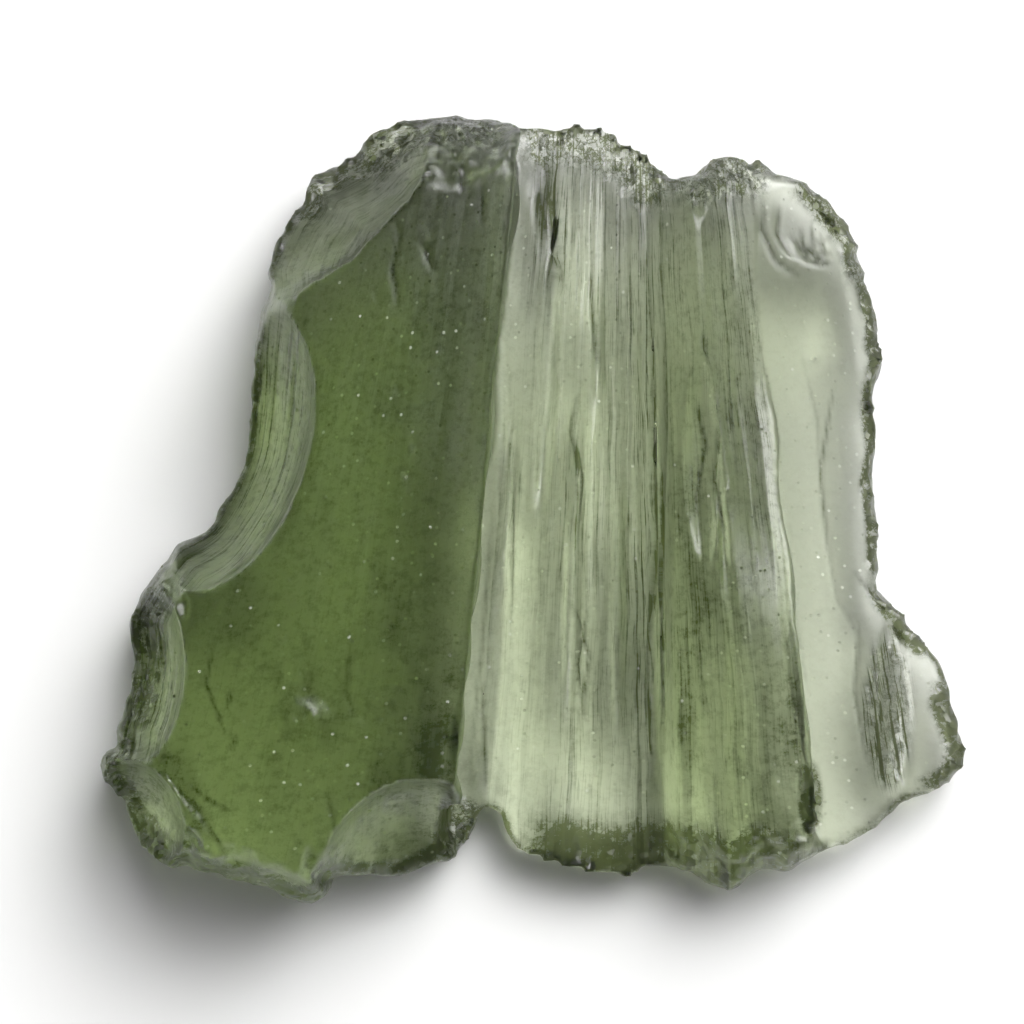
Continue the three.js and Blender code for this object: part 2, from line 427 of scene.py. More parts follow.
@dataclass
class Grid:
    """The block of samples that the stone's field is worked out on."""

    step: Triple = (0.105, 0.195, 0.185)
    spare: float = 0.6
    low: Array = field(init=False)
    x: Array = field(init=False)
    y: Array = field(init=False)
    z: Array = field(init=False)

    def __post_init__(self) -> None:
        """Span the solid's box with some room to spare."""
        low, high = (np.array(corner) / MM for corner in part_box(NODE))
        self.low = low - self.spare
        counts = np.ceil((high + self.spare - self.low) / np.array(self.step)).astype(int)
        axes = [self.low[i] + self.step[i] * np.arange(counts[i]) for i in range(3)]
        self.x = axes[0][:, None, None]
        self.y = axes[1][None, :, None]
        self.z = axes[2][None, None, :]

    def sample(self, plan: Array, x: Array, y: Array) -> Array:
        """Read a map of the plan at scattered points, between its samples.

        Args:
            plan: Values of shape (n, m).
            x: X of the points.
            y: Y of the points.

        Returns:
            One value for each point.
        """
        # The last sample has none beyond it, so a point there is read a hair before it.
        last = np.array(plan.shape) - 1.001
        u = np.clip((x - self.low[0]) / self.step[0], 0.0, last[0])
        v = np.clip((y - self.low[1]) / self.step[1], 0.0, last[1])
        i, j = u.astype(int), v.astype(int)
        across, along = u - i, v - j
        lower = plan[i, j] * (1.0 - across) + plan[i + 1, j] * across
        upper = plan[i, j + 1] * (1.0 - across) + plan[i + 1, j + 1] * across
        return lower * (1.0 - along) + upper * along


@dataclass
class Stone:
    """The whole flake: its levels, rim, flutes and scars, and the mesh that they make."""

    fan: FlowFan = FlowFan()
    ridge_band: float = -1.8
    margin_band: float = 8.6
    lobe_height: float = 8.1
    lobe_top: Pair = (-5.0, 4.0)
    lobe_fall: Pair = (0.01, 0.003)
    terrace: Pairs = (
        (-1.8, 2.3), (-0.6, 2.4), (0.6, 2.7), (3.6, 2.7), (4.2, 2.6), (4.8, 3.9), (6.4, 5.0), (8.6, 5.0),
    )
    terrace_fall: float = 0.004
    margin: Pairs = ((8.6, 2.3), (10.5, 2.2), (12.2, 2.1), (15.0, 2.0))
    underside: Pairs = (
        (-15.0, 0.5), (-11.0, 0.0), (3.0, 0.0), (12.5, 1.0), (15.0, 1.1),
    )
    underside_bow: float = 0.003
    underside_rise: Triple = (1.1, 1.0, 14.0)
    underside_flat: float = 0.1
    margin_rise: float = 0.6
    margin_rise_from: Pair = (3.0, 9.0)
    merge_band: float = 5.6
    merge_from: Pair = (-6.0, 6.0)
    merge_step: float = 0.12
    rim_level: float = 1.6
    rim_slope: float = -0.02
    rim_wave: float = 0.2
    rim_wave_turn: Pair = (0.8, -0.55)
    lobe_edge: float = 0.6
    thin_edge: float = 0.3
    edge_fade: Pair = (-3.0, -1.8)
    rim_share: float = 0.6
    rim_narrowest: float = 0.35
    rim_widest: float = 1.7
    rim_under: float = 0.5
    rim_thinnest: float = 0.05
    ragged: tuple[Ripple, ...] = (Ripple((0.7, 0.7), 0.07), Ripple((0.3, 0.3), 0.04))
    ragged_inside: float = 4.0
    ragged_from: Pair = (0.2, 1.2)
    wall_wave: float = 0.45
    wall_wave_size: Pair = (2.6, 1.9)
    wall_wave_layer: float = 2.0
    wall_wave_from: Pair = (0.3, 2.5)
    warp: tuple[Ripple, ...] = (Ripple((1.1, 1.1), 1.0, 5.0), Ripple((0.45, 0.45), 0.5, 9.0))
    flutes: tuple[Flute, ...] = (
        Flute(-0.9, 0.25, 0.5, -11.0, 4.0), Flute(0.2, 0.3, 0.7, -1.0, 9.5),
        Flute(0.6, 0.4, 0.7, 8.0, 12.5), Flute(1.4, 0.25, 0.6, -8.0, 5.0),
        Flute(2.1, 0.2, 0.5, 3.0, 8.5), Flute(2.9, 0.2, 0.4, -9.0, 2.0),
        Flute(4.05, 0.18, 0.7, -10.0, 9.5), Flute(4.4, 0.15, 0.5, -9.0, 8.5),
        Flute(6.4, 0.2, 0.6, -4.0, 4.5),
    )
    scars: tuple[Scar, ...] = (
        Scar((-10.9, 2.2, 8.0), (3.1, 5.2, 5.4), -0.29, 0.0, 0.6),
        Scar((-7.8, 11.6, 8.0), (6.5, 3.2, 5.4), 0.79, 0.12, 0.35),
        Scar((-14.2, -5.4, 7.8), (2.15, 3.6, 5.0), 0.0, 0.0, 0.7),
        Scar((-14.4, -11.2, 7.6), (2.3, 2.6, 5.2)),
        Scar((-3.9, -13.9, 8.0), (3.8, 4.6, 5.4)),
        Scar((-9.3, -14.6, 7.8), (2.6, 2.2, 4.0)),
        Scar((-1.7, -12.7, 7.8), (1.9, 2.6, 5.0), 0.0, 0.15),
        Scar((9.5, 10.0, 3.7), (1.7, 2.1, 1.3), 0.3),
        Scar((5.7, 1.6, 4.8), (0.75, 3.9, 1.0)),
        Scar((12.7, -6.8, 2.3), (0.6, 3.0, 0.7), 0.08),
    )
    rough: tuple[Rough, ...] = (
        Rough((-3.5, 13.2), (3.4, 3.4), 1.9, 0.8, 3.2, 0.1),
        Rough((-7.2, 11.7), (2.5, 2.5), 1.2, 0.7, 0.0, 0.3),
        Rough((2.3, 12.5), (3.6, 3.6), 2.0, 1.0, 1.9),
        Rough((6.5, 11.7), (2.0, 2.0), 1.8, 1.0, 1.2),
        Rough((10.7, 10.1), (2.2, 2.6), 1.0, 0.9, 0.0, 0.6),
        Rough((11.9, 3.1), (6.0, 6.5), 0.6, 1.0, 0.0, 0.8),
        Rough((12.9, -3.9), (1.8, 1.8), 0.7, 0.9, 0.0, 0.8),
        Rough((14.7, -8.1), (2.2, 2.4), 0.9, 1.0, 0.0, 0.85),
        Rough((12.4, -7.2), (1.1, 3.3), 9.0, 0.4, 0.0, 0.3, 1.0),
        Rough((4.4, -12.3), (6.0, 3.6), 2.4, 0.45, 2.4, 0.9),
        Rough((9.6, -10.2), (0.6, 1.6), 9.0, 0.5, 0.0, 0.8),
        Rough((-13.4, -5.0), (2.0, 3.4), 1.6, 0.6, 0.0, 0.45),
        Rough((-14.5, -9.2), (1.8, 1.8), 0.8, 1.0),
        Rough((-11.7, -12.3), (3.4, 2.0), 1.1, 0.9, 0.0, 0.85),
        Rough((-12.7, -11.7), (1.8, 1.5), 1.4, 0.5, 0.0, 0.9),
        Rough((-8.2, -13.2), (1.9, 1.6), 0.9, 0.8, 0.0, 0.8),
        Rough((-5.0, -12.8), (2.2, 1.2), 0.7, 0.6, 0.0, 0.8),
        Rough((-2.7, -11.3), (1.2, 1.4), 1.3, 0.9),
    )
    noise: Noise = field(default_factory=lambda: Noise(7))
    grid: Grid = field(default_factory=Grid)
    edge: Silhouette = field(default_factory=Silhouette)
    inset_map: Array = field(init=False)

    def top(self, level: Level, x: Array, y: Array) -> Array:
        """Height of a level before its rim rounds over.

        Args:
            level: Which level.
            x: X of the points.
            y: Y of the points.

        Returns:
            Heights above the floor.
        """
        band = self.fan.band(x, y)
        if level is Level.LOBE:
            across, along = self.lobe_fall
            fall = across * (x - self.lobe_top[0]) ** 2 + along * (y - self.lobe_top[1]) ** 2
            return self.lobe_height - fall
        if level is Level.TERRACE:
            grooved = sum(flute.depth_at(band, y) for flute in self.flutes)
            height = height_on(self.terrace, band) - self.terrace_fall * y**2 - grooved
            low = self.top(Level.MARGIN, x, y) + self.merge_step
            sunk = eased(band, self.merge_band, self.margin_band) * eased(y, *self.merge_from)
            return height + (low - height) * sunk
        return height_on(self.margin, band) + self.margin_rise * eased(y, *self.margin_rise_from)

    def bottom(self, x: Array, y: Array) -> Array:
        """Height of the underside, which lies flat in the middle and rises to the rims.

        Args:
            x: X of the points.
            y: Y of the points.

        Returns:
            Heights above the floor.
        """
        across = height_on(self.underside, self.fan.band(x, y))
        height, start, end = self.underside_rise
        along = self.underside_bow * np.minimum(y, 0.0) ** 2 + height * eased(y, start, end)
        return np.maximum(0.0, np.hypot(across, along) - self.underside_flat)

    def rim(self, x: Array, y: Array) -> Array:
        """Level of the broken edge."""
        turn = self.rim_wave_turn[0] * x + self.rim_wave_turn[1] * y
        return self.rim_level + self.rim_slope * x + self.rim_wave * np.sin(turn)

    def rounded(self, height: Array, rim: Array, inset: Array, sign: float) -> Array:
        """Field of one face, rounding over to the rim.

        Args:
            height: Height of the face on the plan.
            rim: Height where the face meets the edge.
            inset: Distance inside the edge.
            sign: One for an upper face, minus one for a lower one.

        Returns:
            A field over the grid, negative on the stone's side.
        """
        reach = np.maximum(sign * (height - rim), self.rim_thinnest)
        tight = 1.0 if sign > 0 else self.rim_under
        width = tight * np.clip(self.rim_share * reach, self.rim_narrowest, self.rim_widest)
        if sign > 0:
            for stretch in self.rough:
                width = np.maximum(width, stretch.bevel * stretch.share(self.grid.x, self.grid.y))
        rise = np.maximum(sign * (self.grid.z - rim), 0.0) / reach
        short = np.maximum(1.0 - inset / width, 0.0)
        return (np.hypot(rise, short) - 1.0) * np.minimum(width, reach)

    def solve(self) -> Array:
        """Work the stone's field out over the grid.

        Returns:
            Values that are negative inside the stone.
        """
        x, y, z = self.grid.x, self.grid.y, self.grid.z
        self.inset_map = self.edge.inset(x[:, :, 0], y[:, :, 0])
        plain = self.inset_map[:, :, None]
        ragged = self.noise.on_plan(self.ragged, x, y)
        inset = plain + ragged * (1.0 + self.ragged_inside * eased(plain, *self.ragged_from))
        rim = self.rim(x, y)
        band = self.fan.band(x, y)
        lobe = self.top(Level.LOBE, x, y)
        stone = self.rounded(lobe, rim + self.lobe_edge, inset, 1.0)
        along, upward = self.wall_wave_size
        waves = self.noise.at(np.full_like(x, self.wall_wave_layer), y / along, z / upward)
        wavy = self.wall_wave * eased(lobe - z, *self.wall_wave_from) * waves
        for level, start in ((Level.TERRACE, self.ridge_band), (Level.MARGIN, self.margin_band)):
            face = self.rounded(self.top(level, x, y), rim + self.thin_edge, inset, 1.0)
            stone = np.maximum(stone, np.minimum(band - start + wavy, face))
        half = self.lobe_edge + (self.thin_edge - self.lobe_edge) * eased(band, *self.edge_fade)
        stone = np.maximum(stone, self.rounded(self.bottom(x, y), rim - half, inset, -1.0))
        warp = self.noise.on_plan(self.warp, x, y)
        for scar in self.scars:
            stone = np.maximum(stone, scar.carve(x, y, z, warp))
        return np.maximum(stone, -z)

    def build(self) -> bpy.types.Object:
        """Mesh the field's surface.

        Returns:
            The stone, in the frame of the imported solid.
        """
        volume = openvdb.FloatGrid(1.0)
        volume.copyFromArray(self.solve().astype(np.float32))
        points, quads = volume.convertToQuads(0.0)
        corners = (self.grid.low + points * np.array(self.grid.step)) * MM
        mesh = bpy.data.meshes.new(NODE + "_glass")
        mesh.from_pydata(corners.tolist(), [], quads.tolist())
        Weathering(self).apply(mesh)
        mesh.shade_smooth()
        stone = bpy.data.objects.new(NODE + "_glass", mesh)
        bpy.context.scene.collection.objects.link(stone)
        return stone


@dataclass
class Skin:
    """The vertices of the plain surface, and what the weathering notes at each of them."""

    x: Array
    y: Array
    z: Array
    normals: Array
    band: Array
    inset: Array
    up: Array
    lines: Array
    shift: Array
    frost: Array
    banded: Array
    # Dark tint: soil, and painted shade along the edge, on the crumpled stretches, in the cracks and lower
    # down the face.
    stain_and_shade: Array
    grainy: Array

    def write(self, mesh: bpy.types.Mesh) -> None:
        """Move the vertices along their normals and store the marks for the glass.

        Args:
            mesh: The mesh that the vertices came from.
        """
        moved = np.stack((self.x, self.y, self.z), axis=1) + self.normals * self.shift[:, None]
        moved[:, 2] = np.maximum(moved[:, 2], 0.0)
        mesh.vertices.foreach_set("co", (moved * MM).ravel())
        marks = {"frost": self.frost, "banded": self.banded, "stain_and_shade": self.stain_and_shade, "grainy": self.grainy}
        for name, values in marks.items():
            mark = mesh.attributes.new(name, "FLOAT", "POINT")
            mark.data.foreach_set("value", values)
        flow = mesh.attributes.new("flow", "FLOAT_VECTOR", "POINT")
        flow.data.foreach_set("vector", np.stack((self.lines, self.y, self.z), axis=1).ravel())
        mesh.update()


@dataclass
class Weathering:
    """The fine relief of the stone's surface, and where the glass is frosted, streaked, soiled or darkened
    with painted shade.
    """

    stone: Stone
    upward: Pair = (-0.1, 0.25)
    banding: Pairs = (
        (-1.8, 0.6), (-0.6, 0.7), (0.2, 1.0), (1.2, 0.6), (3.0, 0.5), (3.8, 1.0), (5.4, 1.0), (6.8, 0.8),
        (8.6, 0.5),
    )
    grained: Pairs = ((-1.9, 1.0), (-1.8, 0.55), (4.2, 0.55), (5.2, 0.9), (8.4, 0.9), (8.6, 0.3))
    # How much cloudy film lies on each band: soil, also used as painted shade.
    film_and_shade: Pairs = ((-1.9, 0.5), (-1.8, 0.15), (4.2, 0.15), (5.2, 0.5), (8.4, 0.5), (8.6, 0.0))
    margin_soft: float = 0.2
    terrace_soft: Pair = (0.3, 1.2)
    lobe_soft: float = 0.1
    lobe_banding: float = 0.1
    patches: tuple[Ripple, ...] = (Ripple((1.6, 5.0), 1.0, 3.0),)
    patch_middle: float = 0.7
    patch_least: float = 0.25
    edge_frost: float = 0.3
    edge_frost_reach: Pair = (0.1, 0.4)
    rough_core: float = 0.4
    frost_below: float = 0.3
    # A jagged dark outline along the edge: painted shade, where the steep rim looks dark.
    edge_shade: float = 0.85
    edge_shade_reach: Pair = (0.02, 0.4)
    jag_size: float = 0.35
    jag_depth: float = 0.15
    jag_layer: float = 7.0
    clouds: tuple[Ripple, ...] = (Ripple((1.7, 3.4), 1.0, 21.0), Ripple((0.6, 1.1), 0.5, 23.0))
    cloud_middle: float = 0.1
    cloud_gain: float = 0.8
    # Painted shade: the film thickens toward the lower edge. Painted light: it thins at the upper end.
    shade_gain_below: Pair = (2.0, 10.0)
    lightening_above: Pair = (6.0, 10.0)
    lightening: float = 0.8
    crinkle: Pairs = ((0.8, 0.28), (0.4, 0.12))
    crinkle_middle: float = 0.3
    cracks: tuple[Crack, ...] = (
        Crack(((0.3, 12.4), (0.5, 10.5), (0.85, 7.4)), 0.45, 0.35),
        Crack(((-0.1, 12.0), (0.2, 10.6), (0.7, 8.4)), 0.4, 0.2),
        Crack(((-1.0, 6.0), (-1.2, 0.0), (-1.6, -5.0), (-2.0, -10.0)), 0.12, 0.14, 0.7),
        Crack(((-1.5, 0.0), (-1.9, -5.0), (-2.4, -10.4)), 0.12, 0.12, 0.6),
        Crack(((-1.9, -6.0), (-1.75, -8.0), (-1.7, -10.2)), 0.12, 0.12),
        Crack(((1.9, 8.3), (2.1, 6.5), (2.2, 4.8)), 0.12, 0.1),
        Crack(((1.5, 4.1), (1.3, 2.7), (1.6, 1.0), (1.4, -1.5)), 0.13, 0.1),
        Crack(((3.9, 10.0), (4.1, 5.0), (4.2, -1.0), (4.0, -6.0), (4.1, -10.0)), 0.12, 0.12),
        Crack(((4.4, 9.0), (4.5, 3.0), (4.4, -3.0), (4.6, -9.0)), 0.11, 0.1),
        Crack(((3.5, -3.9), (3.6, -5.5), (3.5, -7.4)), 0.11, 0.1),
        Crack(((1.2, -3.2), (1.9, -5.2), (1.4, -8.0)), 0.12, 0.1),
        Crack(((1.9, -3.4), (1.4, -5.4), (1.8, -7.6)), 0.11, 0.1),
        Crack(((5.9, 6.1), (6.0, 5.0)), 0.22, 0.2),
        Crack(((5.6, 3.8), (5.9, 2.2), (5.6, 0.4), (5.8, -1.8)), 0.12, 0.12),
        Crack(((6.4, 3.2), (6.2, 1.0), (6.6, -1.0)), 0.11, 0.1),
        Crack(((-0.9, 5.0), (-0.8, 0.0), (-0.9, -5.0)), 0.1, 0.1, 0.6),
        Crack(((-4.6, 9.4), (-4.9, 8.2), (-4.7, 6.9)), 0.14, 0.06),
        Crack(((-3.9, 9.0), (-3.5, 8.1)), 0.14, 0.06), Crack(((-2.5, 12.2), (-2.6, 10.6)), 0.14, 0.06),
        Crack(((-1.8, 11.1), (-1.9, 9.7)), 0.14, 0.06),
        Crack(((-8.5, 6.5), (-8.2, 7.7), (-6.7, 8.6), (-5.7, 9.4), (-4.6, 10.3), (-3.6, 11.5)), 0.28, 0.1),
        Crack(((-11.0, -4.6), (-11.3, -6.0), (-10.6, -7.8)), 0.11, 0.05),
        Crack(((-10.4, -6.2), (-10.6, -6.9)), 0.13, 0.05),
        Crack(((-10.2, -7.8), (-10.5, -8.3)), 0.15, 0.05),
        Crack(((-6.3, -4.2), (-6.5, -6.2), (-6.2, -7.2)), 0.14, 0.05, 0.7),
        Crack(((-7.2, -9.6), (-6.8, -11.2)), 0.15, 0.05, 0.7),
        Crack(((-12.6, -9.4), (-11.5, -10.5), (-10.6, -12.0)), 0.17, 0.12),
        Crack(((-12.2, -10.8), (-11.4, -11.8)), 0.2, 0.12),
        Crack(((-13.0, -8.8), (-12.2, -9.8), (-11.0, -10.7)), 0.14, 0.12),
        Crack(((-12.6, -9.0), (-11.4, -9.9), (-10.5, -10.4)), 0.13, 0.1),
        Crack(((11.2, -2.3), (12.0, -3.1), (12.6, -4.6)), 0.13, 0.12),
        Crack(((10.5, 4.3), (10.0, 1.3), (10.3, -1.8)), 0.1, 0.05),
        Crack(((9.3, 5.6), (9.9, 3.1), (10.1, -0.4), (10.6, -3.2), (11.7, -5.0)), 0.11, 0.05, 0.45),
        Crack(((8.9, -0.5), (9.1, -3.8), (9.6, -6.6)), 0.11, 0.05, 0.4),
        Crack(((11.4, -4.0), (11.2, -6.4), (11.7, -9.2)), 0.12, 0.08, 0.8),
        Crack(((8.1, 10.9), (7.9, 9.8), (8.4, 8.7), (9.3, 8.1)), 0.17, 0.12),
        Crack(((8.6, 10.7), (8.5, 9.6), (9.0, 8.8)), 0.15, 0.1),
        Crack(((9.1, 9.4), (9.8, 8.9), (10.4, 9.0)), 0.16, 0.1),
        Crack(((9.3, 8.9), (10.0, 8.5), (10.5, 8.7)), 0.14, 0.1),
        Crack(((8.9, 9.6), (9.6, 8.9), (10.3, 8.6)), 0.14, 0.08),
        Crack(((9.1, 9.0), (10.0, 9.4)), 0.13, 0.08), Crack(((9.3, 9.9), (9.5, 8.6)), 0.13, 0.08),
        Crack(((9.7, 10.0), (9.8, 8.6)), 0.13, 0.08), Crack(((10.0, 9.6), (10.2, 8.7)), 0.13, 0.08),
    )
    blister: Blister = Blister()
    pinpricks: Pinpricks = Pinpricks()
    rib_reach: float = 0.1
    striae: Pairs = ((0.7, 0.1), (0.33, 0.06))
    stria_stretch: Pair = (28.0, 8.0)
    stria_half: float = 0.45
    stria_least: float = 0.1
    stria_frost_loss: float = 0.6
    swell: float = 0.06
    swell_size: Triple = (3.1, 4.3, 3.0)

    def apply(self, mesh: bpy.types.Mesh) -> None:
        """Weather a plain surface.

        Args:
            mesh: The surface, whose vertices move along their normals.
        """
        skin = self.read(mesh)
        self.mark_bands(skin)
        self.mark_rim(skin)
        self.mark_film_and_shade(skin)
        self.crumple(skin)
        skin.shift += skin.up * self.blister.rise_at(skin.x, skin.y)
        skin.shift -= skin.up * self.pinpricks.depth_at(skin.x, skin.y)
        self.rib_scars(skin)
        self.groove(skin)
        skin.write(mesh)

    def read(self, mesh: bpy.types.Mesh) -> Skin:
        """Read the vertices of a plain surface.

        Args:
            mesh: The surface.

        Returns:
            Its vertices, with flow lines along the bands and nothing marked yet.
        """
        flat = np.empty(len(mesh.vertices) * 3)
        mesh.vertices.foreach_get("co", flat)
        x, y, z = (flat.reshape(-1, 3) / MM).T
        mesh.vertices.foreach_get("normal", flat)
        normals = flat.reshape(-1, 3).copy()
        inset = self.stone.grid.sample(self.stone.inset_map, x, y)
        up = eased(normals[:, 2], *self.upward)
        band = self.stone.fan.band(x, y)
        return Skin(x, y, z, normals, band, inset, up, band.copy(), *np.zeros((5, len(x))))

    def mark_bands(self, skin: Skin) -> None:
        """Mark the streaks of the terrace, in patches, and the fine grain of the face.

        Args:
            skin: The vertices.
        """
        ridge, edge = self.stone.ridge_band, self.stone.margin_band
        start, full = self.terrace_soft
        margin = eased(skin.band, edge - self.margin_soft, edge)
        terraced = eased(skin.band, ridge + start, ridge + full) * (1.0 - margin)
        patchy = self.patch_middle + self.stone.noise.on_plan(self.patches, skin.band, skin.y)
        terraced = terraced * height_on(self.banding, skin.band) * np.clip(patchy, self.patch_least, 1.0)
        lobed = 1.0 - eased(skin.band, ridge - self.lobe_soft, ridge)
        skin.banded = np.maximum(terraced, self.lobe_banding * lobed) * skin.up
        skin.grainy = skin.up * height_on(self.grained, skin.band)

    def mark_rim(self, skin: Skin) -> None:
        """Mark the frost of the rim and of the crumpled stretches, their soil and painted shade, and a
        painted-shade outline along the edge.

        Args:
            skin: The vertices.
        """
        frost = self.edge_frost * (1.0 - eased(skin.inset, *self.edge_frost_reach))
        for stretch in self.stone.rough:
            inside = 1.0 - eased(skin.inset, self.rough_core * stretch.width, stretch.width)
            share = stretch.share(skin.x, skin.y) * inside
            frost = np.maximum(frost, stretch.strength * share)
            skin.stain_and_shade = np.maximum(skin.stain_and_shade, stretch.soil_and_shade * share * skin.up)
            skin.banded = np.maximum(skin.banded, stretch.streaked * share * skin.up)
        skin.frost = frost * (self.frost_below + (1.0 - self.frost_below) * skin.up)
        # Painted shade: a jagged dark outline along the edge.
        x, y, z = (place / self.jag_size for place in (skin.x, skin.y, skin.z))
        jagged = skin.inset + self.jag_depth * self.stone.noise.at(x, y, z + self.jag_layer)
        soil_and_shade = self.edge_shade * (1.0 - eased(jagged, *self.edge_shade_reach))
        skin.stain_and_shade = np.maximum(skin.stain_and_shade, soil_and_shade)

    def mark_film_and_shade(self, skin: Skin) -> None:
        """Mark a cloudy film of soil, with painted shade that makes it thicker toward the lower edge and
        painted light that thins it at the upper end.

        Args:
            skin: The vertices.
        """
        cloud = self.cloud_gain * self.stone.noise.on_plan(self.clouds, skin.x, skin.y)
        # Painted shade darker toward the lower edge, painted light at the upper end.
        below = eased(-skin.y, *self.shade_gain_below)
        above = eased(skin.y, *self.lightening_above)
        shaded_film = height_on(self.film_and_shade, skin.band) * (1.0 + below - self.lightening * above)
        soil_and_shade = skin.up * shaded_film * np.clip(self.cloud_middle + cloud, 0.0, 1.0)
        skin.stain_and_shade = np.maximum(skin.stain_and_shade, soil_and_shade)

    def crumple(self, skin: Skin) -> None:
        """Crinkle the frosted glass, and sink the cracks, darkened with soil and painted shade.

        Args:
            skin: The vertices.
        """
        for size, depth in self.crinkle:
            folds = np.abs(self.stone.noise.at(skin.x / size, skin.y / size, skin.z / size))
            skin.shift += depth * skin.frost * (self.crinkle_middle - folds)
        for crack in self.cracks:
            depth = skin.up * crack.depth_at(skin.x, skin.y)
            skin.shift -= depth
            skin.stain_and_shade = np.maximum(skin.stain_and_shade, crack.soil_and_shade * depth / crack.depth)

    def rib_scars(self, skin: Skin) -> None:
        """Turn the flow lines on the ribbed scars, so that they run along the edge there.

        Args:
            skin: The vertices.
        """
        for scar in self.stone.scars:
            if scar.ribbed:
                wall = np.abs(scar.carve(skin.x, skin.y, skin.z, np.zeros_like(skin.x)))
                on_scar = wall < self.rib_reach + scar.ragged
                skin.lines = np.where(on_scar, skin.inset, skin.lines)
                skin.banded = np.where(on_scar, scar.ribbed * skin.up, skin.banded)

    def groove(self, skin: Skin) -> None:
        """Sink fine grooves along the flow lines, and let the whole face swell a little.

        Args:
            skin: The vertices.
        """
        noise, facing = self.stone.noise, np.abs(skin.normals[:, 2])
        amount = self.stria_least + (1.0 - self.stria_least) * skin.banded
        kept = 1.0 - self.stria_frost_loss * skin.frost
        along, upward = self.stria_stretch
        for size, depth in self.striae:
            waves = np.abs(noise.at(skin.lines / size, skin.y / (along * size), skin.z / (upward * size)))
            grooves = np.clip(1.0 - waves / self.stria_half, 0.0, 1.0) ** 2
            skin.shift -= depth * amount * facing * grooves * kept
        swell_x, swell_y, swell_z = self.swell_size
        skin.shift += self.swell * noise.at(skin.x / swell_x, skin.y / swell_y, skin.z / swell_z)


def add_node(tree: Any, kind: str, settings: dict[Any, Any], links: dict[Any, Any]) -> Any:
    """Add a shader node with its settings and links.

    Args:
        tree: The node tree.
        kind: The node's type, after its prefix.
        settings: Attributes of the node, or values of its input sockets by name or place.
        links: Output sockets to link, by input socket name or place.

    Returns:
        The node.
    """
    node = tree.nodes.new("ShaderNode" + kind)
    for name, value in settings.items():
        if isinstance(name, str) and hasattr(node, name):
            setattr(node, name, value)
        else:
            node.inputs[name].default_value = value
    for name, source in links.items():
        tree.links.new(source, node.inputs[name])
    return node


